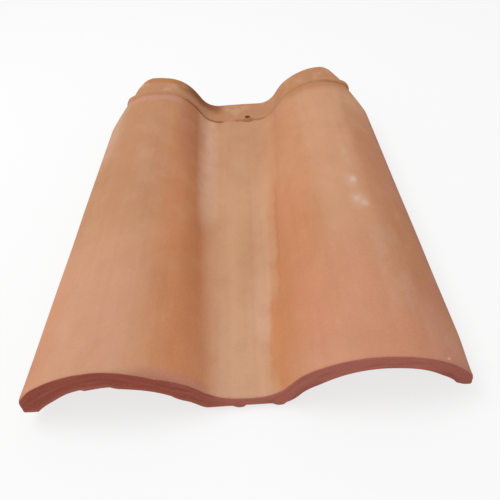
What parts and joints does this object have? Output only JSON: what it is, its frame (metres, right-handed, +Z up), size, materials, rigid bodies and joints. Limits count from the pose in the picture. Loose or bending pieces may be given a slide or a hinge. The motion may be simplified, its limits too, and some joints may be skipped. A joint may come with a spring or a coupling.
{
  "type": "clay roof tile",
  "caption": "Fired clay roof tile with a roll on each side of a flat pan, tapering from a wide front edge to a narrow head with a weather bar, cut corners and a nail hole.",
  "frame": {"origin": "middle of the underside, level with the bottoms of the ribs under the pan", "axes": "+Y along the tile from the front edge to the head, +X across it to the right seen from the front edge, +Z up"},
  "size_m": [0.263, 0.4, 0.0503],
  "materials": {
    "fired_clay": "matte unglazed terracotta"
  },
  "bodies": {
    "root": {"roof_tile": "fired_clay"}
  },
  "joints": []
}
